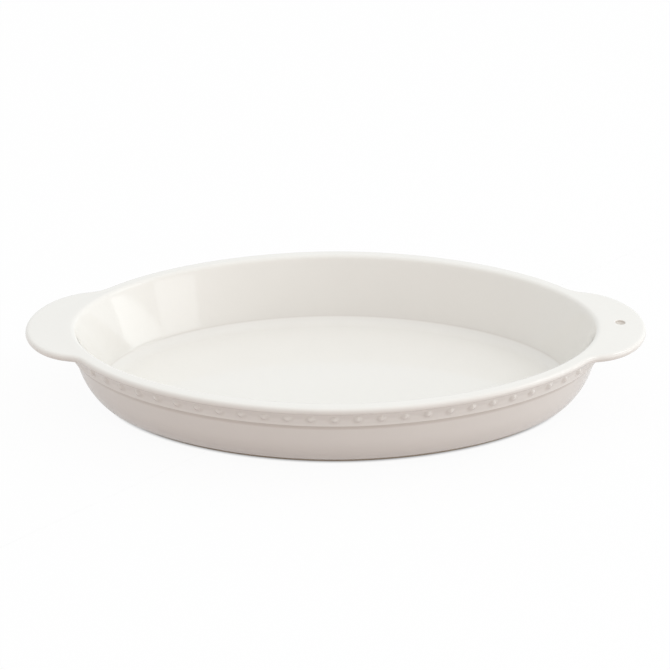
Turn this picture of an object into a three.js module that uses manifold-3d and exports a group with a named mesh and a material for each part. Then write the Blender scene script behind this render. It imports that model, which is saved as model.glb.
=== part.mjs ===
// Oval baking dish: a glazed stoneware basin with a lug handle at each end,
// a strip of raised beads round the outside under the lip, and a low bare foot ring.
// Millimetres, +Z up, long axis on X, standing on Z = 0.
import * as THREE from "three";
import { mergeVertices } from "three/addons/utils/BufferGeometryUtils.js";
import Module from "manifold-3d";

const wasm = await Module();
wasm.setup();

// Driving dimensions, in millimetres and degrees
const RIM_LENGTH = 386; // over the lip, along X
const RIM_WIDTH = 254; // over the lip, along Y
const PLAN_POWER = 1.9; // exponent of the plan oval: 2 is an ellipse, less is more pointed
const HEIGHT = 55; // table to the top of the lip
const LIP_WIDTH = 10; // lip's outside to the inside wall, at the top
const LIP_HEIGHT = 5; // thickness of the lip's outer edge
const LIP_INNER_ROUND = 4; // where the top of the lip turns down into the hollow
const LIP_OVERHANG = 2; // lip past the face of the bead strip
const WALL_LEAN = 18; // outside of the upper wall, from upright
const WALL_DRAFT = 4; // how much more the inside leans than the outside
const BELLY_RADIUS = 52; // outside of the lower wall, where it curves in to the base
const BELLY_LEAN = 38; // lean of the wall where the belly ends
const FLOOR_THICKNESS = 5.5;
const COVE_RADIUS = 20; // inside, between wall and floor
const COVE_SLOPE = 38; // of the cove at its top, from level: it meets the wall at a faint crease
const BASE_ROUND = 4; // outside, between belly and underside
const FOOT_HEIGHT = 2.5; // underside above the table
const FOOT_WIDTH = 7;
const FOOT_SETBACK = 4; // foot ring in from where the underside turns flat
const FOOT_CHAMFER = 0.7;
const HANDLE_REACH = 24; // past the end of the rim
const HANDLE_DEPTH = 45; // half axis of the handle's elliptical end, along X
const HANDLE_WIDTH = 106; // along Y
const HANDLE_THICKNESS = 5.5;
const HANDLE_DROP = 0.2; // handle's top below the top of the lip
const HANDLE_FLAT = 0.7; // upright band left between the two roundings of the handle's edge
const HANDLE_FILLET = 20; // hollow curve where the handle's outline runs into the rim
const HOLE_DIAMETER = 6.5; // peg hole in the right handle
const HOLE_FROM_TIP = 17.5;
const HOLE_ROUND = 1; // softened edge of the hole
const STRIP_HEIGHT = 13; // down the slope of the wall
const STRIP_THICKNESS = 1.2;
const RIDGE_HEIGHT = 0.5; // fine ridge along the strip's lower edge
const RIDGE_WIDTH = 1.8;
const BEAD_DIAMETER = 6;
const BEAD_HEIGHT = 1.8;
const BEAD_PITCH = 15; // along the strip
const BEAD_DROP = 4.6; // bead's centre below the lip, down the slope
const BEAD_SINK = 0.6; // bead's root in the strip
const BEAD_TO_HANDLE = 2; // least room between the last bead and the handle
const SEAT_GAP = 0.3; // slip joint between pieces that seat on each other

// How finely round shapes are drawn
const TURN_STEPS = 96; // round the oval
const ROUND_STEPS = 3; // small roundings
const LIP_STEPS = 6; // an even count, so that the lip reaches its full width
const COVE_STEPS = 4;
const BELLY_STEPS = 4;
const FILLET_STEPS = 6;
const LOBE_STEPS = 28; // round a handle's end
const BEAD_SIDES = 8;
const HOLE_SIDES = 24;
const WALK_STEPS = 4000; // for distances along the oval
const HALVINGS = 14; // for the place of the handle's fillet

const radians = THREE.MathUtils.degToRad;
const LEAN_OUT = radians(WALL_LEAN);
const LEAN_IN = radians(WALL_LEAN + WALL_DRAFT);
const LEAN_BELLY = radians(BELLY_LEAN);
const SLOPE_COVE = radians(COVE_SLOPE);
const CREASE_Z = HEIGHT - LIP_HEIGHT; // where the wall meets the underside of the lip
const CREASE_INSET = LIP_OVERHANG + (STRIP_THICKNESS + SEAT_GAP) / Math.cos(LEAN_OUT);
const FLOOR_Z = FOOT_HEIGHT + FLOOR_THICKNESS;
const LIP_RADIUS = LIP_HEIGHT / 2;
const LIP_MIDDLE_Z = HEIGHT - LIP_RADIUS;

// A point of the plan oval, drawn in from the rim's outside by an inset
function oval(angle, inset) {
  const c = Math.cos(angle);
  const s = Math.sin(angle);
  const x = (RIM_LENGTH / 2 - inset) * Math.sign(c) * Math.abs(c) ** (2 / PLAN_POWER);
  const y = (RIM_WIDTH / 2 - inset) * Math.sign(s) * Math.abs(s) ** (2 / PLAN_POWER);
  return new THREE.Vector2(x, y);
}

// An arc in a profile of [inset, z] points: 0 degrees faces out of the dish, 90 faces up
function arc(inset, z, radius, from, to, steps) {
  const points = [];
  for (let i = 0; i <= steps; i++) {
    const angle = from + ((to - from) * i) / steps;
    points.push([inset - radius * Math.cos(angle), z + radius * Math.sin(angle)]);
  }
  return points;
}

// Insets of the two straight faces of the wall at a height
const outsideInset = (z) => CREASE_INSET + (CREASE_Z - z) * Math.tan(LEAN_OUT);
const insideInset = (z) => LIP_WIDTH + (HEIGHT - z) * Math.tan(LEAN_IN);

// A point on the outside wall: so far down its slope from the lip, and so far off its face
function onWall(down, off) {
  const inset = CREASE_INSET + down * Math.sin(LEAN_OUT) - off * Math.cos(LEAN_OUT);
  return [inset, CREASE_Z - down * Math.cos(LEAN_OUT) - off * Math.sin(LEAN_OUT)];
}

// Triangles between rows of points of equal length; `around` joins the last column to the first
function skin(rows, around, closed) {
  const width = rows[0].length;
  const faces = [];
  for (let i = 0; i < rows.length - (closed ? 0 : 1); i++) {
    for (let j = 0; j < width - (around ? 0 : 1); j++) {
      const a = i * width + j;
      const b = i * width + ((j + 1) % width);
      const up = ((i + 1) % rows.length) * width - i * width;
      faces.push(a, b, b + up, a, b + up, a + up);
    }
  }
  return faces;
}

function geometryOf(points, faces) {
  const geometry = new THREE.BufferGeometry().setFromPoints(points);
  geometry.setIndex(faces);
  return geometry;
}

const turn = Array.from({ length: TURN_STEPS }, (_, i) => (2 * Math.PI * i) / TURN_STEPS);

function rowAt(angles, [inset, z]) {
  return angles.map((angle) => new THREE.Vector3(...oval(angle, inset), z));
}

// A solid turned round the oval from a profile that starts and ends on the middle axis
function basin(bottomZ, profile, topZ) {
  const rows = profile.map((point) => rowAt(turn, point));
  const points = rows.flat();
  const faces = skin(rows, true, false);
  const bottom = points.push(new THREE.Vector3(0, 0, bottomZ)) - 1;
  const top = points.push(new THREE.Vector3(0, 0, topZ)) - 1;
  const last = (rows.length - 1) * TURN_STEPS;
  for (let j = 0; j < TURN_STEPS; j++) {
    const next = (j + 1) % TURN_STEPS;
    faces.push(bottom, next, j, top, last + j, last + next);
  }
  return geometryOf(points, faces);
}

// A closed section carried right round the oval
function hoop(section) {
  const rows = section.map((point) => rowAt(turn, point));
  return geometryOf(rows.flat(), skin(rows, true, true));
}

// A closed section carried along part of the oval, with flat ends
function ribbon(section, angles) {
  const rows = section.map((point) => rowAt(angles, point));
  const faces = skin(rows, false, true);
  const flat = section.map(([inset, z]) => new THREE.Vector2(-inset, z));
  for (const [a, b, c] of THREE.ShapeUtils.triangulateShape(flat, [])) {
    const [p, q, r] = [a, b, c].map((row) => row * angles.length);
    const end = angles.length - 1;
    faces.push(p, q, r, p + end, r + end, q + end);
  }
  return geometryOf(rows.flat(), faces);
}

function solid(geometry) {
  geometry.deleteAttribute("normal");
  geometry.deleteAttribute("uv");
  const merged = mergeVertices(geometry);
  const vertProperties = merged.getAttribute("position").array;
  const triVerts = new Uint32Array(merged.index.array);
  return new wasm.Manifold(new wasm.Mesh({ numProp: 3, vertProperties, triVerts }));
}

function fromSolid(made) {
  const { vertProperties, triVerts } = made.getMesh();
  const position = new THREE.BufferAttribute(vertProperties, 3);
  const geometry = new THREE.BufferGeometry().setAttribute("position", position);
  return geometry.setIndex(new THREE.BufferAttribute(triVerts, 1));
}

const glaze = () => new THREE.MeshStandardMaterial({ color: 0xefece5, roughness: 0.15, metalness: 0 });
const bareClay = () => new THREE.MeshStandardMaterial({ color: 0xd8c9b0, roughness: 0.9, metalness: 0 });

const dish = new THREE.Group();

function add(name, geometry, material) {
  geometry.computeVertexNormals();
  const mesh = new THREE.Mesh(geometry, material);
  mesh.name = name;
  dish.add(mesh);
  return mesh;
}

// Dish body: underside, base rounding, belly, leaning wall, rolled lip, inside wall, cove and floor
const baseZ = FOOT_HEIGHT + BASE_ROUND;
const bellyFromBase = BELLY_RADIUS - BASE_ROUND;
const bellyZ = baseZ + bellyFromBase * Math.sin(LEAN_BELLY);
const bellyInset = outsideInset(bellyZ) + BELLY_RADIUS / Math.cos(LEAN_OUT);
const baseInset = bellyInset - bellyFromBase * Math.cos(LEAN_BELLY);
const innerZ = HEIGHT - LIP_INNER_ROUND;
const innerInset = insideInset(innerZ) - LIP_INNER_ROUND / Math.cos(LEAN_IN);
const coveZ = FLOOR_Z + COVE_RADIUS;
const coveTopZ = coveZ - COVE_RADIUS * Math.cos(SLOPE_COVE);
const coveInset = insideInset(coveTopZ) + COVE_RADIUS * Math.sin(SLOPE_COVE);
const bodyProfile = [
  ...arc(baseInset, baseZ, BASE_ROUND, -Math.PI / 2, -LEAN_BELLY, ROUND_STEPS),
  ...arc(bellyInset, bellyZ, BELLY_RADIUS, -LEAN_BELLY, -LEAN_OUT, BELLY_STEPS).slice(1),
  [CREASE_INSET, CREASE_Z],
  ...arc(LIP_RADIUS, LIP_MIDDLE_Z, LIP_RADIUS, -Math.PI / 2, Math.PI / 2, LIP_STEPS),
  ...arc(innerInset, innerZ, LIP_INNER_ROUND, Math.PI / 2, Math.PI - LEAN_IN, ROUND_STEPS),
  ...arc(coveInset, coveZ, COVE_RADIUS, SLOPE_COVE - Math.PI / 2, -Math.PI / 2, COVE_STEPS),
];
add("dish_body", basin(FOOT_HEIGHT, bodyProfile, FLOOR_Z), glaze());

// Foot ring: a low bare hoop that the dish stands on
const footOut = baseInset + FOOT_SETBACK;
const footIn = footOut + FOOT_WIDTH;
const footTop = FOOT_HEIGHT - SEAT_GAP;
const footSection = [
  [footOut + FOOT_CHAMFER, 0],
  [footOut, FOOT_CHAMFER],
  [footOut, footTop],
  [footIn, footTop],
  [footIn, FOOT_CHAMFER],
  [footIn - FOOT_CHAMFER, 0],
];
add("foot_ring", hoop(footSection), bareClay());

// Bead strips: one along the front between the handles, and its twin along the back
const stripIn = SEAT_GAP;
const stripOut = SEAT_GAP + STRIP_THICKNESS;
const stripSection = [
  onWall(STRIP_HEIGHT, stripIn),
  onWall(STRIP_HEIGHT, stripOut),
  onWall(STRIP_HEIGHT - RIDGE_WIDTH / 3, stripOut + RIDGE_HEIGHT),
  onWall(STRIP_HEIGHT - (2 * RIDGE_WIDTH) / 3, stripOut + RIDGE_HEIGHT),
  onWall(STRIP_HEIGHT - RIDGE_WIDTH, stripOut),
  onWall(SEAT_GAP, stripOut),
  onWall(SEAT_GAP, stripIn),
];
const endAngle = Math.asin((SEAT_GAP / RIM_WIDTH) ** (PLAN_POWER / 2));
const frontAngles = turn.slice(1, TURN_STEPS / 2).map((angle) => angle - Math.PI);
const strip = ribbon(stripSection, [-Math.PI + endAngle, ...frontAngles, -endAngle]);

// One bead: a shallow dome on a short root, its foot on Z = 0
function bead() {
  const radius = BEAD_DIAMETER / 2;
  const dome = new THREE.EllipseCurve(0, 0, radius, BEAD_HEIGHT, 0, Math.PI / 2);
  const root = [new THREE.Vector2(0, -BEAD_SINK), new THREE.Vector2(radius, -BEAD_SINK)];
  const profile = [...root, ...dome.getPoints(ROUND_STEPS)];
  return new THREE.LatheGeometry(profile, BEAD_SIDES).rotateX(Math.PI / 2);
}

// Angles of the beads: every pitch along the strip, both ways from its middle, up to the handles
const [beadInset, beadZ] = onWall(BEAD_DROP, stripOut);
const nearestHandle = HANDLE_WIDTH / 2 + BEAD_DIAMETER / 2 + BEAD_TO_HANDLE;
const beadAngles = [-Math.PI / 2];
let walked = 0;
let here = oval(-Math.PI / 2, beadInset);
for (let i = 1; i < WALK_STEPS; i++) {
  const angle = -Math.PI / 2 + (Math.PI / 2) * (i / WALK_STEPS);
  const next = oval(angle, beadInset);
  walked += next.distanceTo(here);
  here = next;
  if (walked >= BEAD_PITCH && -here.y > nearestHandle) {
    beadAngles.push(angle, -Math.PI - angle);
    walked -= BEAD_PITCH;
  }
}

// A bead stands square to the strip's face
function placedBead(angle) {
  const turnStep = Math.PI / WALK_STEPS;
  const along = oval(angle + turnStep, beadInset).sub(oval(angle - turnStep, beadInset)).normalize();
  const tangent = new THREE.Vector3(along.x, along.y, 0);
  const level = new THREE.Vector3(along.y, -along.x, 0);
  const face = level.multiplyScalar(Math.cos(LEAN_OUT)).setZ(-Math.sin(LEAN_OUT));
  const frame = new THREE.Matrix4().makeBasis(tangent, face.clone().cross(tangent), face);
  return bead().applyMatrix4(frame.setPosition(...oval(angle, beadInset), beadZ));
}

const beads = beadAngles.map((angle) => solid(placedBead(angle)));
const beadStrip = wasm.Manifold.union([solid(strip), ...beads]);
add("front_bead_strip", fromSolid(beadStrip), glaze());
add("rear_bead_strip", fromSolid(beadStrip), glaze()).rotation.z = Math.PI;

// Handle outline: an ellipse that runs into the rim through a hollow curve on each side
const tipX = RIM_LENGTH / 2 + HANDLE_REACH;
const lobeX = tipX - HANDLE_DEPTH;

function filletCentre(angle) {
  const out = new THREE.Vector2(Math.cos(angle) / HANDLE_DEPTH, (2 * Math.sin(angle)) / HANDLE_WIDTH);
  out.setLength(HANDLE_FILLET);
  out.x += lobeX + HANDLE_DEPTH * Math.cos(angle);
  out.y += (HANDLE_WIDTH / 2) * Math.sin(angle);
  return out;
}

function nearestOnRim(point) {
  let best = oval(0, 0);
  for (let i = 1; i <= WALK_STEPS; i++) {
    const next = oval(((Math.PI / 2) * i) / WALK_STEPS, 0);
    if (next.distanceTo(point) < best.distanceTo(point)) best = next;
  }
  return best;
}

// The angle on the ellipse where a circle that touches it also touches the rim
let lobeAngle = 0;
for (let i = 1; i <= HALVINGS; i++) {
  const centre = filletCentre(lobeAngle);
  const nearest = nearestOnRim(centre);
  const outside = centre.length() > nearest.length();
  const clear = outside && nearest.distanceTo(centre) > HANDLE_FILLET;
  lobeAngle += (clear ? Math.PI : -Math.PI) / 2 ** i;
}
const fillet = filletCentre(lobeAngle);
const rimTouch = nearestOnRim(fillet).sub(fillet);
const lobeTouch = new THREE.Vector2(lobeX, 0).sub(fillet);
lobeTouch.x += HANDLE_DEPTH * Math.cos(lobeAngle);
lobeTouch.y += (HANDLE_WIDTH / 2) * Math.sin(lobeAngle);
const rootX = fillet.x + rimTouch.x - 2 * LIP_WIDTH;
const rootY = fillet.y + rimTouch.y;
const lobe = new THREE.EllipseCurve(lobeX, 0, HANDLE_DEPTH, HANDLE_WIDTH / 2, -lobeAngle, lobeAngle);
const hollow = new THREE.EllipseCurve(fillet.x, fillet.y, HANDLE_FILLET, HANDLE_FILLET);
hollow.aStartAngle = lobeTouch.angle();
hollow.aEndAngle = rimTouch.angle();
hollow.aClockwise = true;
const hollowPoints = hollow.getPoints(FILLET_STEPS).slice(1);
const mirrored = hollowPoints.map((point) => new THREE.Vector2(point.x, -point.y)).reverse();
const root = [new THREE.Vector2(rootX, rootY), new THREE.Vector2(rootX, -rootY)];
const outline = new THREE.Shape([...mirrored, ...lobe.getPoints(LOBE_STEPS), ...hollowPoints, ...root]);

// Handle: the outline with rounded edges, cut to seat on the lip
const handleTop = HEIGHT - HANDLE_DROP;
const handleBottom = handleTop - HANDLE_THICKNESS;
const handleEdge = (HANDLE_THICKNESS - HANDLE_FLAT) / 2;
const slab = new THREE.ExtrudeGeometry(outline, {
  depth: HANDLE_FLAT,
  bevelThickness: handleEdge,
  bevelSize: handleEdge,
  bevelOffset: -handleEdge,
  bevelSegments: ROUND_STEPS,
}).translate(0, 0, handleBottom + handleEdge);

// What the handle keeps clear of: the rim and the round top of its lip, with the slip joint round them
const belowHandle = handleBottom - HANDLE_THICKNESS;
const seatProfile = [
  [-SEAT_GAP, belowHandle],
  ...arc(LIP_RADIUS, LIP_MIDDLE_Z, LIP_RADIUS + SEAT_GAP, 0, Math.PI / 2, ROUND_STEPS),
];
const seat = solid(basin(belowHandle, seatProfile, HEIGHT + SEAT_GAP));
const handle = solid(slab).subtract(seat);

// The right handle's peg hole, flared softly at both faces
const flare = HOLE_DIAMETER / 2 + HOLE_ROUND;
const flareArc = (z, from, to) =>
  new THREE.EllipseCurve(flare, z, HOLE_ROUND, HOLE_ROUND, from, to, true).getPoints(ROUND_STEPS);
const holeProfile = [
  new THREE.Vector2(0, belowHandle),
  new THREE.Vector2(flare, belowHandle),
  ...flareArc(handleBottom + HOLE_ROUND, 1.5 * Math.PI, Math.PI),
  ...flareArc(handleTop - HOLE_ROUND, Math.PI, Math.PI / 2),
  new THREE.Vector2(flare, HEIGHT + HOLE_ROUND),
  new THREE.Vector2(0, HEIGHT + HOLE_ROUND),
];
const hole = new THREE.LatheGeometry(holeProfile, HOLE_SIDES).rotateX(Math.PI / 2);
hole.translate(tipX - HOLE_FROM_TIP, 0, 0);
add("right_handle", fromSolid(handle.subtract(solid(hole))), glaze());
add("left_handle", fromSolid(handle), glaze()).rotation.z = Math.PI;

export default dish;
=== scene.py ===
import math

import bmesh
import bpy
import numpy as np
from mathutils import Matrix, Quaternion, Vector


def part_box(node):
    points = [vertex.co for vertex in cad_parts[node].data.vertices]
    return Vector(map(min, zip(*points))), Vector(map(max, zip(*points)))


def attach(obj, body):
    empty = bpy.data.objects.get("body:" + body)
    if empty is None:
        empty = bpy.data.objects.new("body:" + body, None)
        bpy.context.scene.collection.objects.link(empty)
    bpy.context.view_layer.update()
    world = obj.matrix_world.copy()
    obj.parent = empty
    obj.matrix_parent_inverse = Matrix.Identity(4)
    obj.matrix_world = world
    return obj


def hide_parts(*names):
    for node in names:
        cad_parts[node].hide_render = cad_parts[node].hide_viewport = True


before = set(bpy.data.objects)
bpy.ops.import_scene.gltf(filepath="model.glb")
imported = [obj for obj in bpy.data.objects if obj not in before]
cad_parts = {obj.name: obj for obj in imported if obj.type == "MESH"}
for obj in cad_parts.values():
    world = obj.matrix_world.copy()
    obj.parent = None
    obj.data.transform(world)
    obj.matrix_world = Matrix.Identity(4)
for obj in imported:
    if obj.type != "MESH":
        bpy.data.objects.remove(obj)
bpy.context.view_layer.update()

# Glazed dish
# Basin, rolled lip and both lug handles are one piece of stoneware, cast in a mould, sponged round at
# its edges, dipped in an ivory gloss glaze and fired.
MM = 0.001
PLAN_POWER = 1.9  # 2 would be an ellipse; less draws the oval in towards its corners
COLUMNS = 256
BASE_STEPS = 5  # rings of each stretch of the outside, from the underside up
BELLY_STEPS = 6
WALL_STEPS = 4
BEND_STEPS = 4
END_CROWDING = 0.25  # columns stand closer at the two ends of the oval
ROOT_CROWDING = -0.06  # and as close at the roots of the handles
WALL_LEAN = math.radians(16)
TOP_LEAN = math.radians(2)  # under the lip, where the wall bends upright
TOP_RADIUS = 58 * MM
INSIDE_LEAN = math.radians(22)
BELLY_RADIUS = 52 * MM  # the lower wall curves in to the base
BELLY_LEAN = math.radians(38)  # where the belly ends
BASE_ROUND = 12 * MM
LIP_HEIGHT = 5 * MM
LIP_INNER_ROUND = 4 * MM
LIP_WIDTH = 10 * MM
CREASE_INSET = 6.4 * MM  # wall's outside under the lip, in from the rim
FLOOR_THICKNESS = 5.5 * MM
COVE_RADIUS = 20 * MM
COVE_SLOPE = math.radians(38)  # at its top, from level
FLAT_RINGS = (0.25, 0.5, 0.75, 1)  # share of the flat underside and floor that each ring takes in
underside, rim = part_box("dish_body")
crease_height = rim.z - LIP_HEIGHT
bend_length = TOP_RADIUS * (WALL_LEAN - TOP_LEAN)


def oval(turn, inset, height):
    """A point of the dish's plan, so far in from the rim and so high."""
    c, s = math.cos(turn), math.sin(turn)
    x = math.copysign((rim.x - inset) * abs(c) ** (2 / PLAN_POWER), c)
    y = math.copysign((rim.y - inset) * abs(s) ** (2 / PLAN_POWER), s)
    return Vector((x, y, height))


def column_turn(column):
    even = 2 * math.pi * column / COLUMNS
    return even - END_CROWDING * math.sin(2 * even) - ROOT_CROWDING * math.sin(4 * even)


def on_wall(down, off):
    """Inset and height of a point so far down the wall's outside from the lip and so far off it."""
    lean = TOP_LEAN + min(down, bend_length) / TOP_RADIUS
    inset = CREASE_INSET + TOP_RADIUS * (math.cos(TOP_LEAN) - math.cos(lean)) - off * math.cos(lean)
    height = crease_height - TOP_RADIUS * (math.sin(lean) - math.sin(TOP_LEAN)) - off * math.sin(lean)
    straight = max(0, down - bend_length)
    return inset + straight * math.sin(lean), height - straight * math.cos(lean)


bend_inset, bend_height = on_wall(bend_length, 0)


def wall_inset(height):
    """How far the outside of the straight wall is in from the rim at a height."""
    return bend_inset + (bend_height - height) * math.tan(WALL_LEAN)


def arc(inset, height, radius, start, end, steps):
    """Rings of a rounding: an angle of 0 faces out of the dish, a quarter turn faces up."""
    angles = [start + (end - start) * i / steps for i in range(steps + 1)]
    return [(inset - radius * math.cos(a), height + radius * math.sin(a)) for a in angles]


def between(start, end, steps):
    """Rings of a straight wall, without its two ends."""
    shares = [i / steps for i in range(1, steps)]
    return [tuple(a + (b - a) * share for a, b in zip(start, end)) for share in shares]


def start_ring(name, inset, height):
    """A circle eased to the dish's oval, left in edit mode with its edge selected."""
    bpy.ops.object.select_all(action="DESELECT")
    bpy.ops.mesh.primitive_circle_add(vertices=COLUMNS, radius=rim.x)
    piece = bpy.context.object
    piece.name = piece.data.name = name
    column = piece.data.attributes.new("column", "INT", "POINT")
    for vertex in piece.data.vertices:
        column.data[vertex.index].value = vertex.index
        vertex.co = oval(column_turn(vertex.index), inset, height)
    bpy.ops.object.mode_set(mode="EDIT")
    bpy.ops.mesh.select_all(action="SELECT")
    return piece


def draw_rings(rings):
    """Extrudes the open edge from ring to ring, each an inset and a height."""
    for (inset, height), (next_inset, next_height) in zip(rings, rings[1:]):
        rise = {"value": (0, 0, next_height - height)}
        bpy.ops.mesh.extrude_edges_move(TRANSFORM_OT_translate=rise)
        wider = (rim.x - next_inset) / (rim.x - inset)
        deeper = (rim.y - next_inset) / (rim.y - inset)
        bpy.ops.transform.resize(value=(wider, deeper, 1), center_override=(0, 0, next_height))


def spread_rings(shares):
    """Extrudes the open edge across a flat, from one share of its size to the next."""
    for share, next_share in zip(shares, shares[1:]):
        size = next_share / share
        bpy.ops.mesh.extrude_edges_move()
        bpy.ops.transform.resize(value=(size, size, 1), center_override=(0, 0, 0))


def smooth_finish(piece):
    """Closes the mesh, turns its faces outwards and rounds it with one subdivision."""
    bpy.ops.object.mode_set(mode="OBJECT")
    bpy.ops.object.modifier_add(type="SUBSURF")
    piece.modifiers[-1].levels = piece.modifiers[-1].render_levels = 1
    bpy.ops.object.modifier_apply(modifier=piece.modifiers[-1].name)
    bpy.ops.object.mode_set(mode="EDIT")
    bpy.ops.mesh.select_all(action="SELECT")
    bpy.ops.mesh.fill_holes(sides=0)
    bpy.ops.mesh.select_all(action="SELECT")
    bpy.ops.mesh.normals_make_consistent(inside=False)
    bpy.ops.object.mode_set(mode="OBJECT")
    bpy.ops.object.shade_smooth()


# The underside is spread out from its middle, and the base and the wall are drawn up to the crease.
base_height = underside.z + BASE_ROUND
belly_from_base = BELLY_RADIUS - BASE_ROUND
belly_height = base_height + belly_from_base * math.sin(BELLY_LEAN)
belly_inset = wall_inset(belly_height) + BELLY_RADIUS / math.cos(WALL_LEAN)
base_inset = belly_inset - belly_from_base * math.cos(BELLY_LEAN)
base = arc(base_inset, base_height, BASE_ROUND, -math.pi / 2, -BELLY_LEAN, BASE_STEPS)
belly = arc(belly_inset, belly_height, BELLY_RADIUS, -BELLY_LEAN, -WALL_LEAN, BELLY_STEPS)
bend = [on_wall(bend_length * i / BEND_STEPS, 0) for i in range(BEND_STEPS, -1, -1)]
dish = start_ring("glazed_dish", *base[0])
bpy.ops.transform.resize(value=(FLAT_RINGS[0], FLAT_RINGS[0], 1), center_override=(0, 0, 0))
spread_rings(FLAT_RINGS)
draw_rings([*base, *belly[1:], *between(belly[-1], bend[0], WALL_STEPS), *bend])

# The lip is rolled out from the crease, and at both ends it is drawn out into the handles: the rows of
# its underside, its round edge and its top spread from the wall to the handle's outline.
LOBE_DEPTH = 45 * MM  # half axes of the handle's elliptical end
LOBE_HALF_WIDTH = 53 * MM
HOLLOW_RADIUS = 20 * MM  # where the end runs into the rim on both sides
HALVINGS = 14
RIM_SAMPLES = 3000
LOBE_SAMPLES = 200
HOLLOW_SAMPLES = 60
GROWING_LENGTH = 16 * MM  # along the outline, from the lip's thickness to the handle's
RISE_FROM = 0.55  # share of the way in from which the handle's top rises to the lip
UNDER_ROWS = 7
EDGE_ROWS = 10
TOP_ROWS = 8
handle_low, handle_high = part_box("right_handle")
lip_round = LIP_HEIGHT / 2
handle_round = (handle_high.z - handle_low.z) / 2
lip_inside_height = rim.z - LIP_INNER_ROUND
lip_inside_inset = LIP_WIDTH + LIP_INNER_ROUND * (math.tan(INSIDE_LEAN) - 1 / math.cos(INSIDE_LEAN))


def eased(share):
    share = min(1, max(0, share))
    return share * share * (3 - 2 * share)


def lengths_along(points):
    steps = np.linalg.norm(np.diff(points, axis=0), axis=1)
    return np.concatenate([[0], np.cumsum(steps)])


def lobe_point(turn):
    x = handle_high.x - LOBE_DEPTH + LOBE_DEPTH * math.cos(turn)
    return Vector((x, LOBE_HALF_WIDTH * math.sin(turn)))


# The hollow at a handle's root is the circle that touches both its elliptical end and the rim.
rim_turns = np.linspace(0, math.pi / 2, RIM_SAMPLES)
rim_points = np.array([oval(turn, 0, 0).xy for turn in rim_turns])
lobe_turn = 0
for halving in range(1, HALVINGS + 1):
    away = Vector((math.cos(lobe_turn) / LOBE_DEPTH, math.sin(lobe_turn) / LOBE_HALF_WIDTH)).normalized()
    centre = lobe_point(lobe_turn) + away * HOLLOW_RADIUS
    gaps = np.linalg.norm(rim_points - centre, axis=1)
    root = gaps.argmin()
    clear = centre.length > Vector(rim_points[root]).length and gaps[root] > HOLLOW_RADIUS
    lobe_turn += (math.pi if clear else -math.pi) / 2**halving
root_turn = rim_turns[root]
lobe = np.array([lobe_point(turn) for turn in np.linspace(0, lobe_turn, LOBE_SAMPLES)])
ends = [Vector(end) - centre for end in (lobe[-1], rim_points[root])]
sweep = np.linspace(*(math.atan2(end.y, end.x) % math.tau for end in ends), HOLLOW_SAMPLES)[1:]
hollow = np.array(centre) + HOLLOW_RADIUS * np.stack([np.cos(sweep), np.sin(sweep)], 1)
outline = np.concatenate([lobe, hollow])
outline_lengths = lengths_along(outline)
rim_lengths = lengths_along(rim_points[: root + 1])


def outer_edge(turn):
    """The outermost point at a turn, and how far the edge has grown from lip to handle there."""
    c, s = math.cos(turn), math.sin(turn)
    folded = math.atan2(abs(s), abs(c))
    if folded >= root_turn:
        return oval(turn, 0, 0), 0
    share = np.interp(folded, rim_turns[: root + 1], rim_lengths) / rim_lengths[-1]
    length = share * outline_lengths[-1]
    x = math.copysign(np.interp(length, outline_lengths, outline[:, 0]), c)
    y = math.copysign(np.interp(length, outline_lengths, outline[:, 1]), s)
    return Vector((x, y, 0)), eased((outline_lengths[-1] - length) / GROWING_LENGTH)


edges = [outer_edge(column_turn(column)) for column in range(COLUMNS)]


def lip_point(column, part, share):
    """A point of the lip or handle: on its underside, its round edge or its top."""
    turn = column_turn(column)
    point, grown = edges[column]
    along = (edges[(column + 1) % COLUMNS][0] - edges[column - 1][0]).normalized()
    out = Vector((along.y, -along.x, 0))
    radius = lip_round + (handle_round - lip_round) * grown
    top = rim.z + (handle_high.z - rim.z) * grown
    up = Vector((0, 0, radius))
    heart = point - out * radius + Vector((0, 0, top - radius))
    if part == "edge":
        angle = math.radians(180 * share - 90)
        return heart + out * radius * math.cos(angle) + up * math.sin(angle)
    if part == "under":
        seat = oval(turn, *on_wall((crease_height - handle_low.z) * grown, 0))
        return seat.lerp(heart - up, share)
    spot = (heart + up).lerp(oval(turn, lip_inside_inset, rim.z), share)
    spot.z = top + (rim.z - top) * eased((share - RISE_FROM) / (1 - RISE_FROM))
    return spot


def place_lip(part, share):
    mesh = bmesh.from_edit_mesh(dish.data)
    column = mesh.verts.layers.int["column"]
    for vertex in mesh.verts:
        if vertex.select:
            vertex.co = lip_point(vertex[column], part, share)
    bmesh.update_edit_mesh(dish.data)


lip_rows = [("under", i / UNDER_ROWS) for i in range(1, UNDER_ROWS)]
lip_rows += [("edge", i / EDGE_ROWS) for i in range(EDGE_ROWS + 1)]
lip_rows += [("top", i / TOP_ROWS) for i in range(1, TOP_ROWS + 1)]
place_lip("under", 0)
for part, share in lip_rows:
    bpy.ops.mesh.extrude_edges_move()
    place_lip(part, share)

# Inside, the wall is drawn down from the lip through the cove, and the floor is drawn in to its middle.
LIP_STEPS = 5
INSIDE_STEPS = 6
COVE_STEPS = 8
CREASE_FINENESS = 40  # the last of so many steps down the wall is a ring that keeps the crease fine
floor_height = underside.z + FLOOR_THICKNESS
cove_height = floor_height + COVE_RADIUS
cove_top = cove_height - COVE_RADIUS * math.cos(COVE_SLOPE)
cove_inset = LIP_WIDTH + (rim.z - cove_top) * math.tan(INSIDE_LEAN) + COVE_RADIUS * math.sin(COVE_SLOPE)
lip_inside = arc(
    lip_inside_inset, lip_inside_height, LIP_INNER_ROUND, math.pi / 2, math.pi - INSIDE_LEAN, LIP_STEPS
)
cove = arc(cove_inset, cove_height, COVE_RADIUS, COVE_SLOPE - math.pi / 2, -math.pi / 2, COVE_STEPS)
wall_foot = between(lip_inside[-1], cove[0], CREASE_FINENESS)[-1]
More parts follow.
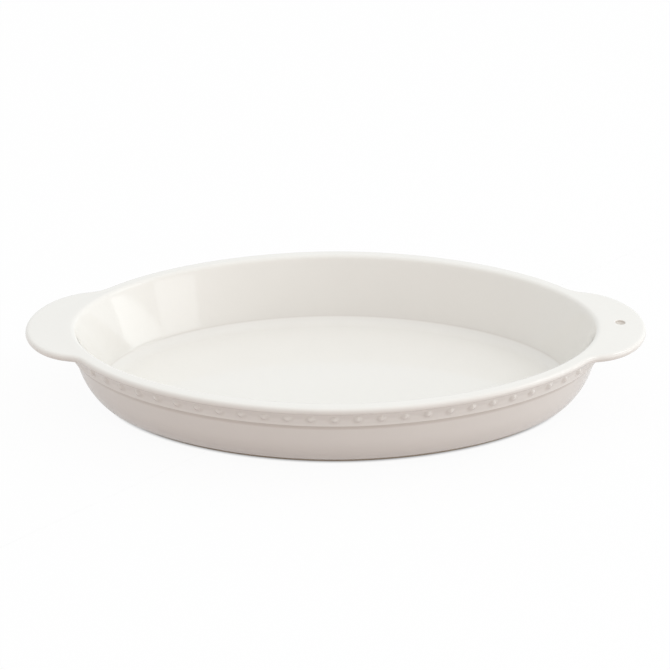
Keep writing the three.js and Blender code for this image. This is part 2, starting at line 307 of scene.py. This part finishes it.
draw_rings([*lip_inside, *between(lip_inside[-1], wall_foot, INSIDE_STEPS), wall_foot, *cove])
spread_rings(FLAT_RINGS[::-1])

# The peg hole is pierced through the right handle while the clay is soft, and its edges are wiped round.
HOLE_X = 199.5 * MM
HOLE_RADIUS = 3.25 * MM
HOLE_ROUND = 1 * MM
PATCH = 6.9 * MM  # half width of the faces that make way for the hole
PATCH_MARGIN = 1.5  # the edge of the gap is looked for this much further out
HOLE_STEPS = 4


def near_hole(spot, height):
    aside = max(abs(spot.x - HOLE_X), abs(spot.y))
    return aside < PATCH * PATCH_MARGIN and abs(spot.z - height) < HOLE_ROUND


def pierce(height, inward):
    """Opens a face of the handle round the hole and draws the gap's edge in over a soft rounding."""
    mesh = bmesh.from_edit_mesh(dish.data)
    for face in mesh.faces:
        spot = face.calc_center_median()
        inside = max(abs(spot.x - HOLE_X), abs(spot.y)) < PATCH
        face.select_set(inside and near_hole(spot, height))
    bmesh.update_edit_mesh(dish.data)
    bpy.ops.mesh.delete(type="FACE")
    mesh = bmesh.from_edit_mesh(dish.data)
    gap = [v for v in mesh.verts if v.is_boundary and near_hole(v.co, height)]
    gap.sort(key=lambda v: math.atan2(v.co.y, v.co.x - HOLE_X) % math.tau)
    for place, vertex in enumerate(gap):
        turn = math.tau * place / len(gap)
        vertex.co.xy = HOLE_X + PATCH * math.cos(turn), PATCH * math.sin(turn)
        vertex.select_set(True)
    mesh.select_flush_mode()
    bmesh.update_edit_mesh(dish.data)
    flare = HOLE_RADIUS + HOLE_ROUND
    turns = [math.radians(90 * i / HOLE_STEPS) for i in range(HOLE_STEPS + 1)]
    rounding = [(flare - HOLE_ROUND * math.sin(t), HOLE_ROUND * (1 - math.cos(t))) for t in turns]
    rings = [(PATCH, 0), ((PATCH + flare) / 2, 0), *rounding]
    for (radius, depth), (next_radius, next_depth) in zip(rings, rings[1:]):
        step = {"value": (0, 0, inward * (next_depth - depth))}
        bpy.ops.mesh.extrude_edges_move(TRANSFORM_OT_translate=step)
        size = next_radius / radius
        bpy.ops.transform.resize(value=(size, size, 1), center_override=(HOLE_X, 0, height))


bpy.ops.mesh.select_all(action="DESELECT")
pierce(handle_high.z, -1)
bpy.ops.mesh.select_all(action="DESELECT")
pierce(handle_low.z, 1)
mesh = bmesh.from_edit_mesh(dish.data)
for edge in mesh.edges:
    middle = (edge.verts[0].co + edge.verts[1].co) / 2
    edge.select_set(edge.is_boundary and (middle.xy - Vector((HOLE_X, 0))).length < PATCH)
bmesh.update_edit_mesh(dish.data)
bpy.ops.mesh.bridge_edge_loops()
smooth_finish(dish)

# The glaze pools in the fine crease where the inside wall meets the cove, and its darker colour there
# also paints the crease's shade. It is wiped out of the hole, where the bare clay's darker colour also
# paints the shade inside the hole.
CREASE_HALF_WIDTH = 0.8 * MM
CREASE_SHARE = 0.65
INSIDE_ONLY = 1.1  # on the scale of the crease's oval, which is 1: leaves out the wall's outside
WIPED_EDGE = 0.5 * MM
crease_x, crease_y = (half - cove[0][0] for half in (rim.x, rim.y))
pooled_and_shaded = np.zeros(len(dish.data.vertices))
wiped_and_hole_shade = np.zeros(len(dish.data.vertices))
for vertex in dish.data.vertices:
    x, y, z = vertex.co
    if abs(x / crease_x) ** PLAN_POWER + abs(y / crease_y) ** PLAN_POWER < INSIDE_ONLY:
        pooled_and_shaded[vertex.index] = CREASE_SHARE * max(0, 1 - abs(z - cove_top) / CREASE_HALF_WIDTH)
    from_axis = math.hypot(x - HOLE_X, y) - HOLE_RADIUS
    wiped_and_hole_shade[vertex.index] = eased(1 - from_axis / WIPED_EDGE)
dish.data.attributes.new("pooled_and_shaded", "FLOAT", "POINT").data.foreach_set("value", pooled_and_shaded)
dish.data.attributes.new("wiped_and_hole_shade", "FLOAT", "POINT").data.foreach_set("value", wiped_and_hole_shade)
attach(dish, "root")
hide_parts("dish_body", "left_handle", "right_handle")


class Wire:
    """A socket of a finish. Sums on wires add Math nodes, and node() adds any other kind."""

    def __init__(self, tree, socket=None):
        self.tree = tree
        self.socket = socket

    def node(self, kind, settings=(), inputs=(), output=0):
        made = self.tree.nodes.new(kind)
        for name, value in dict(settings).items():
            setattr(made, name, value)
        for name, value in dict(inputs).items():
            if isinstance(value, Wire):
                self.tree.links.new(value.socket, made.inputs[name])
            else:
                made.inputs[name].default_value = value
        return Wire(self.tree, made.outputs[output] if made.outputs else None)

    def maths(self, operation, first, second):
        return self.node("ShaderNodeMath", {"operation": operation}, {0: first, 1: second})

    def __add__(self, other):
        return self.maths("ADD", self, other)

    def __radd__(self, other):
        return self.maths("ADD", other, self)

    def __sub__(self, other):
        return self.maths("SUBTRACT", self, other)

    def __rsub__(self, other):
        return self.maths("SUBTRACT", other, self)

    def __mul__(self, other):
        return self.maths("MULTIPLY", self, other)

    def __rmul__(self, other):
        return self.maths("MULTIPLY", other, self)


def new_finish(name):
    finish = bpy.data.materials.new(name)
    finish.use_nodes = True
    finish.node_tree.nodes.clear()
    return finish, Wire(finish.node_tree)


def blend(wire, share, first, second):
    """Mixes two colours, whose sockets have the numbers 6 and 7, and their mix the number 2."""
    return wire.node(
        "ShaderNodeMix", {"data_type": "RGBA"}, {"Factor": share, 6: first, 7: second}, output=2
    )


IVORY = (0.868, 0.852, 0.808, 1)
IVORY_CLOUD = (0.845, 0.828, 0.782, 1)
# the glaze where it pools; as a darker colour in the creases and round the beads' feet it is painted
# shade too
IVORY_POOLED_AND_SHADED = (0.73, 0.69, 0.635, 1)
# bare clay in the hole, its dark colour also a painted shade inside the hole
WIPED_CLAY_AND_HOLE_SHADE = (0.66, 0.61, 0.55, 1)
CLOUD_SHARE = 0.7
PEEL_RELIEF = 0.03
GLAZE_ROUGHNESS = 0.05
CLOUD_ROUGHNESS = 0.05
WIPED_ROUGHNESS = 0.6
glaze, wire = new_finish("ivory_glaze")
place = wire.node("ShaderNodeTexCoord", output="Object")
clouds = wire.node("ShaderNodeTexNoise", {}, {"Vector": place, "Scale": 26, "Detail": 3})
ripple = wire.node("ShaderNodeTexNoise", {}, {"Vector": place, "Scale": 90, "Detail": 2})
peel = wire.node("ShaderNodeTexNoise", {}, {"Vector": place, "Scale": 700, "Detail": 1})
pool_and_shade_share = wire.node("ShaderNodeAttribute", {"attribute_name": "pooled_and_shaded"}, output="Fac")
wiped_and_hole_shade_share = wire.node("ShaderNodeAttribute", {"attribute_name": "wiped_and_hole_shade"}, output="Fac")
clouded = blend(wire, clouds * CLOUD_SHARE, IVORY, IVORY_CLOUD)
# Pooled glaze darkens the creases, which is painted shade as well, and the hole's dark clay paints its
# shade too.
pool_and_shade_coloured = blend(wire, pool_and_shade_share, clouded, IVORY_POOLED_AND_SHADED)
coloured = blend(wire, wiped_and_hole_shade_share, pool_and_shade_coloured, WIPED_CLAY_AND_HOLE_SHADE)
relief = ripple + clouds + peel * PEEL_RELIEF
swell = wire.node("ShaderNodeBump", {}, {"Strength": 0.25, "Distance": 0.25 * MM, "Height": relief})
shader = wire.node(
    "ShaderNodeBsdfPrincipled",
    {},
    {
        "Base Color": coloured,
        "Roughness": GLAZE_ROUGHNESS + clouds * CLOUD_ROUGHNESS + wiped_and_hole_shade_share * WIPED_ROUGHNESS,
        "IOR": 1.52,
        "Coat Weight": 0.35,
        "Coat Roughness": 0.04,
        "Normal": swell,
    },
)
wire.node("ShaderNodeOutputMaterial", {}, {"Surface": shader})
dish.data.materials.append(glaze)

# Bead strips
# A ribbon of the same clay is laid round the wall under the lip, one along the front and one along the
# back, with a row of low domes on it and a rolled lower edge. Clay and glaze slope down to it from the
# lip, and the glaze runs out on the wall below.
STRIP_HEIGHT = 11 * MM  # down the wall
STRIP_FACE = 0.9 * MM  # off the wall at its top
STRIP_SWELL = 0.4 * MM  # and so much more above its roll
STRIP_SUNK = 0.4 * MM  # its back in the wall, where slip fixes it
RUN_RADIUS = 1.2 * MM  # glaze run into the corner under the lip
ROLL_HEIGHT = 0.25 * MM  # the rolled lower edge, off the strip's face
ROLL_ROUND = 0.8 * MM  # from the lowest line to the crest of the roll
ROLL_WIDTH = 2.6 * MM
POOL_WIDTH = 4.2 * MM  # glaze that has run out on the wall below the strip, coloured darker as painted shade under the ledge
POOL_FULL = 2.2 * MM
POOL_DEPTH = 0.5 * MM
BEAD_PITCH = 15 * MM
BEAD_DROP = 4.4 * MM  # down the wall
BEAD_SHIFT = 1.4 * MM  # the row isn't quite centred
BEAD_HEIGHT = 1.9 * MM
BEAD_POWER = 2
BEAD_REACH = 3.8 * MM  # where the foot of a bead has run out into the strip
BEAD_HALO = 1.35  # reach of the darker ring round a bead's foot, pooled glaze and painted shade
HALO_SHARE = 0.25
GLAZE_ROUND = 0.15 * MM  # the glaze rounds the feet of the beads
BEADS_EACH_SIDE = 12
STRIP_COLUMNS = 960
POOL_ROWS = 6
ROLL_ROWS = 8
FACE_ROWS = 19
RUN_ROWS = 5
STRIP_SAMPLES = 4001
END_TOLERANCE = 0.01 * MM
SHARP_EDGE = math.radians(60)
roll_top = STRIP_FACE + STRIP_SWELL + ROLL_HEIGHT
crest = STRIP_HEIGHT - ROLL_ROUND
face_low = STRIP_HEIGHT - ROLL_WIDTH
pool_low = STRIP_HEIGHT + POOL_WIDTH
strip_rows = [(pool_low, -STRIP_SUNK)]
for row in range(POOL_ROWS):
    share = row / POOL_ROWS
    strip_rows.append((pool_low - POOL_WIDTH * share, POOL_DEPTH * share**3))
for row in range(ROLL_ROWS):
    angle = math.pi / 2 * row / ROLL_ROWS
    rise = POOL_DEPTH + (roll_top - POOL_DEPTH) * math.sin(angle)
    strip_rows.append((crest + ROLL_ROUND * math.cos(angle), rise))
for row in range(ROLL_ROWS):
    share = row / ROLL_ROWS
    strip_rows.append((crest + (face_low - crest) * share, roll_top - ROLL_HEIGHT * eased(share)))

# The face runs up to a fillet that touches the strip and the lip's round edge. A straight slope from the
# lip to the strip's foot covers the fillet, and the ribbon is closed inside the wall.
lip_out = CREASE_INSET - lip_round
lip_heart_off = lip_out * math.cos(TOP_LEAN) - lip_round * math.sin(TOP_LEAN)
lip_heart_down = -lip_out * math.sin(TOP_LEAN) - lip_round * math.cos(TOP_LEAN)
run_off = STRIP_FACE + RUN_RADIUS
run_reach = lip_round + RUN_RADIUS
run_down = lip_heart_down + math.sqrt(run_reach**2 - (run_off - lip_heart_off) ** 2)
run_sweep = math.acos((run_off - lip_heart_off) / run_reach)
for row in range(FACE_ROWS):
    share = row / FACE_ROWS
    down = face_low + (run_down - face_low) * share
    strip_rows.append((down, STRIP_FACE + STRIP_SWELL * eased(1 - share)))
for row in range(RUN_ROWS + 1):
    angle = run_sweep * row / RUN_ROWS
    down = run_down - RUN_RADIUS * math.sin(angle)
    strip_rows.append((down, run_off - RUN_RADIUS * math.cos(angle)))
strip_rows += [(lip_heart_down, lip_heart_off), (lip_heart_down, -STRIP_SUNK)]
last_row = len(strip_rows) - 1
slope_top = Vector(on_wall(lip_heart_down, lip_heart_off))
slope_foot = Vector(on_wall(pool_low, -STRIP_SUNK))


def slope_off(down):
    """How far off the wall the slope lies that falls straight from the lip to the strip's foot."""
    bare = Vector(on_wall(down, 0))
    square = Vector(on_wall(down, MM)) - bare
    fall = slope_foot - slope_top
    return MM * (slope_top - bare).cross(fall) / square.cross(fall)


bead_inset = on_wall(BEAD_DROP, STRIP_FACE)[0]
strip_turns = np.linspace(-math.pi, 0, STRIP_SAMPLES)
strip_lengths = lengths_along(np.array([oval(turn, bead_inset, 0).xy for turn in strip_turns]))
half_length = strip_lengths[-1] / 2

bpy.ops.object.select_all(action="DESELECT")
bpy.ops.mesh.primitive_grid_add(x_subdivisions=STRIP_COLUMNS, y_subdivisions=last_row, size=2)
strip = bpy.context.object
strip.name = strip.data.name = "front_bead_strip_glazed"
last_bead = BEADS_EACH_SIDE * BEAD_PITCH
pooled_and_shaded = np.zeros(len(strip.data.vertices))
for vertex in strip.data.vertices:
    along = vertex.co.x * half_length
    down, off = strip_rows[round((vertex.co.y + 1) / 2 * last_row)]
    bead = max(-last_bead, min(last_bead, BEAD_PITCH * round((along - BEAD_SHIFT) / BEAD_PITCH)))
    away = math.hypot(along - bead - BEAD_SHIFT, down - BEAD_DROP) / BEAD_REACH
    slope = slope_off(down)
    if off > 0 and away < 1 and down < face_low:
        off += BEAD_HEIGHT * (1 - away * away) ** BEAD_POWER
    # The run of glaze below the strip and a ring round each bead's foot are coloured darker: pooled
    # glaze, and painted shade under the strip's ledge and round the beads.
    if down > crest:
        pooled_and_shaded[vertex.index] = eased((pool_low - down) / (POOL_WIDTH - POOL_FULL))
    elif away < BEAD_HALO and off > slope:
        pooled_and_shaded[vertex.index] = HALO_SHARE * eased(away) * eased((BEAD_HALO - away) / (BEAD_HALO - 1))
    if off > 0 and down < face_low:
        off = (off + slope + math.hypot(off - slope, GLAZE_ROUND)) / 2
    turn = np.interp(half_length + along, strip_lengths, strip_turns)
    vertex.co = oval(turn, *on_wall(down, off))
strip.data.attributes.new("pooled_and_shaded", "FLOAT", "POINT").data.foreach_set("value", pooled_and_shaded)

# Its back is bridged from one long edge to the other, and its two ends are filled.
bpy.ops.object.mode_set(mode="EDIT")
bpy.ops.mesh.select_all(action="DESELECT")
mesh = bmesh.from_edit_mesh(strip.data)
for edge in mesh.edges:
    long_edge = max(abs(vertex.co.y) for vertex in edge.verts) > END_TOLERANCE
    edge.select_set(edge.is_boundary and long_edge)
bmesh.update_edit_mesh(strip.data)
bpy.ops.mesh.bridge_edge_loops()
bpy.ops.mesh.select_all(action="SELECT")
bpy.ops.mesh.fill_holes(sides=0)
bpy.ops.object.mode_set(mode="OBJECT")
bpy.ops.object.shade_smooth_by_angle(angle=SHARP_EDGE)
strip.data.materials.append(glaze)

# The strip along the back is a copy, turned half way round.
bpy.ops.object.duplicate()
rear = bpy.context.object
rear.name = rear.data.name = "rear_bead_strip_glazed"
bpy.ops.transform.rotate(value=math.pi, orient_axis="Z", center_override=(0, 0, 0))
bpy.ops.object.transform_apply(location=True, rotation=True, scale=True)
for piece, node in ((strip, "front_bead_strip"), (rear, "rear_bead_strip")):
    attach(piece, "root")
    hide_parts(node)

# Foot ring
# The dish stands on a low oval hoop under its floor. The glaze is wiped off it before firing, so it is
# bare sandy clay, ground flat underneath and rounded at both edges.
FOOT_WIDTH = 7 * MM
FOOT_ROUND = 0.8 * MM
FOOT_SUNK = 0.9 * MM  # its top in the underside, where the two are joined
FOOT_ROUND_STEPS = 4
FOOT_FLAT_STEPS = 5
foot_low, foot_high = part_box("foot_ring")
foot_out = rim.x - foot_high.x
foot_in = foot_out + FOOT_WIDTH
foot_top = underside.z + FOOT_SUNK
edge_height = foot_low.z + FOOT_ROUND
side_height = edge_height + FOOT_ROUND
down_turn = -math.pi / 2
foot_rings = [(foot_out, foot_top), (foot_out, side_height)]
foot_rings += arc(foot_out + FOOT_ROUND, edge_height, FOOT_ROUND, 0, down_turn, FOOT_ROUND_STEPS)
foot_rings += between(foot_rings[-1], (foot_in - FOOT_ROUND, foot_low.z), FOOT_FLAT_STEPS)
foot_rings += arc(foot_in - FOOT_ROUND, edge_height, FOOT_ROUND, down_turn, -math.pi, FOOT_ROUND_STEPS)
foot_rings += [(foot_in, side_height), (foot_in, foot_top)]
foot = start_ring("bare_foot_ring", *foot_rings[0])
draw_rings(foot_rings)
mesh = bmesh.from_edit_mesh(foot.data)
for edge in mesh.edges:
    edge.select_set(edge.is_boundary)
bmesh.update_edit_mesh(foot.data)
bpy.ops.mesh.bridge_edge_loops()
smooth_finish(foot)
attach(foot, "root")
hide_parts("foot_ring")

BARE_CLAY = (0.62, 0.54, 0.44, 1)
CLAY_SHADE = (0.49, 0.41, 0.32, 1)
IRON_SPECK = (0.2, 0.12, 0.07, 1)
MOTTLE_SHARE = 0.8
MOTTLE_RELIEF = 0.5
SPECK_SHARE = 0.6
SPECK_RANGE = {"From Min": 0.1, "From Max": 0.16, "To Min": 1, "To Max": 0}
CLAY_ROUGHNESS = 0.84
GRAIN_ROUGHNESS = 0.12
clay, wire = new_finish("bare_clay")
place = wire.node("ShaderNodeTexCoord", output="Object")
mottle = wire.node("ShaderNodeTexNoise", {}, {"Vector": place, "Scale": 120, "Detail": 4})
grains = wire.node("ShaderNodeTexNoise", {}, {"Vector": place, "Scale": 1800, "Detail": 2})
specks = wire.node("ShaderNodeTexVoronoi", {}, {"Vector": place, "Scale": 420}, output="Distance")
speck_share = wire.node("ShaderNodeMapRange", {}, {"Value": specks, **SPECK_RANGE})
fired = blend(wire, mottle * MOTTLE_SHARE, BARE_CLAY, CLAY_SHADE)
freckled = blend(wire, speck_share * SPECK_SHARE, fired, IRON_SPECK)
relief = grains + mottle * MOTTLE_RELIEF
sandy = wire.node("ShaderNodeBump", {}, {"Strength": 0.5, "Distance": 0.2 * MM, "Height": relief})
rough = CLAY_ROUGHNESS + grains * GRAIN_ROUGHNESS
shader = wire.node(
    "ShaderNodeBsdfPrincipled", {}, {"Base Color": freckled, "Roughness": rough, "Normal": sandy}
)
wire.node("ShaderNodeOutputMaterial", {}, {"Surface": shader})
foot.data.materials.append(clay)

# Studio
# The dish stands on a wide sheet of white paper in a light tent. To the right, a softbox and the two
# panes of a window throw brighter light on it and show in the glaze.
FLOOR_SIZE = 80
BOUNCE = (0.585, 0.51, 0.485, 1)  # what the paper throws back at the dish
PAPER = (0.9, 0.9, 0.9, 1)
PAPER_GLOW = 0.94
GLOSSY_LOSS = 0.5  # the glaze mirrors the paper in the dish's own shade
CONTACT_REACH = 3.6 * MM  # the paper's glow is darkened this close to the foot, a painted contact shadow
CONTACT_GAIN = 1.6
CONTACT_SAMPLES = 16
bpy.ops.object.select_all(action="DESELECT")
bpy.ops.mesh.primitive_plane_add(size=FLOOR_SIZE)
floor = bpy.context.object
floor.name = "studio_floor"
pale, wire = new_finish("pale_floor")
camera_ray = wire.node("ShaderNodeLightPath", output="Is Camera Ray")
glossy_ray = wire.node("ShaderNodeLightPath", output="Is Glossy Ray")
through_ray = wire.node("ShaderNodeLightPath", output="Is Transmission Ray")
seen = wire.maths("MAXIMUM", wire.maths("MAXIMUM", camera_ray, glossy_ray), through_ray)
bounce = wire.node("ShaderNodeBsdfDiffuse", {}, {"Color": BOUNCE})
lit = wire.node("ShaderNodeBsdfDiffuse", {}, {"Color": PAPER})
open_sky = wire.node(
    "ShaderNodeAmbientOcclusion", {"samples": CONTACT_SAMPLES}, {"Distance": CONTACT_REACH}, output="AO"
)
# Ambient occlusion dims the paper's glow round the foot, which paints the dish's contact shadow on it.
painted_shadow_glow = wire.maths("MINIMUM", open_sky * CONTACT_GAIN, 1)
white = wire.node("ShaderNodeEmission", {}, {"Color": (1, 1, 1, 1), "Strength": painted_shadow_glow})
glow_share = PAPER_GLOW - glossy_ray * GLOSSY_LOSS
paper = wire.node("ShaderNodeMixShader", {}, {0: glow_share, 1: lit, 2: white})
ground = wire.node("ShaderNodeMixShader", {}, {0: seen, 1: bounce, 2: paper})
wire.node("ShaderNodeOutputMaterial", {}, {"Surface": ground})
floor.data.materials.append(pale)

PANEL_DISTANCE = 1.6
DAYLIGHT = (0.94, 1, 1.03)


def soft_panel(name, azimuth, elevation, width, height, glow):
    """A lit rectangle that faces the dish; at a glow of 1 it looks white."""
    across, up = math.radians(azimuth), math.radians(elevation)
    aim = Vector((math.cos(across) * math.cos(up), math.sin(across) * math.cos(up), math.sin(up)))
    bpy.ops.object.light_add(type="AREA", location=aim * PANEL_DISTANCE)
    panel = bpy.context.object
    panel.name = name
    panel.data.shape = "RECTANGLE"
    panel.data.size = width
    panel.data.size_y = height
    panel.data.energy = glow * width * height * math.pi
    panel.data.color = DAYLIGHT
    panel.rotation_euler = aim.to_track_quat("Z", "Y").to_euler()


soft_panel("side_softbox", azimuth=4, elevation=45, width=0.6, height=0.5, glow=1.8)
soft_panel("window_pane", azimuth=-11, elevation=8, width=0.84, height=0.32, glow=1.2)
soft_panel("far_window_pane", azimuth=-36, elevation=13, width=0.5, height=0.5, glow=0.9)

# The tent is brighter to the right and at its top, and dimmer and warmer low down at the front.
TENT = 0.86
TOP_GAIN = 0.2
RIGHT_GAIN = 0.64
FRONT_LOSS = 0.66
TENT_COLOUR = (0.955, 0.98, 0.995, 1)
FRONT_COLOUR = (1.04, 0.95, 0.92, 1)
scene = bpy.context.scene
scene.world = bpy.data.worlds.new("light_tent")
scene.world.use_nodes = True
scene.world.node_tree.nodes.clear()
wire = Wire(scene.world.node_tree)
toward = wire.node("ShaderNodeTexCoord", output="Generated")
x, y, z = (wire.node("ShaderNodeSeparateXYZ", {}, {"Vector": toward}, output=axis) for axis in "XYZ")
right = wire.maths("MAXIMUM", x, 0)
front = wire.maths("MAXIMUM", -1 * y, 0)
dim = front * front * front * front * (1 - z)
strength = TENT + right * right * RIGHT_GAIN + z * z * TOP_GAIN - dim * FRONT_LOSS
tint = blend(wire, front, TENT_COLOUR, FRONT_COLOUR)
tent = wire.node("ShaderNodeBackground", {}, {"Color": tint, "Strength": strength})
wire.node("ShaderNodeOutputWorld", {}, {"Surface": tent})

# The camera has the photograph's viewing angle, in radians.
ELEVATION = 0.4602
AZIMUTH = 0.0193
ROLL = -0.008
DISTANCE = 1.0857
TARGET = Vector((0, 0, 0.0446))
SENSOR_WIDTH = 36
LENS = 82.85
back = Vector((
    math.sin(AZIMUTH) * math.cos(ELEVATION),
    -math.cos(AZIMUTH) * math.cos(ELEVATION),
    math.sin(ELEVATION),
))
bpy.ops.object.camera_add(location=TARGET + back * DISTANCE)
camera = bpy.context.object
camera.rotation_mode = "QUATERNION"
camera.rotation_quaternion = back.to_track_quat("Z", "Y") @ Quaternion((0, 0, 1), ROLL)
camera.data.sensor_width = SENSOR_WIDTH
camera.data.lens = LENS
scene.camera = camera
scene.view_settings.view_transform = "Standard"
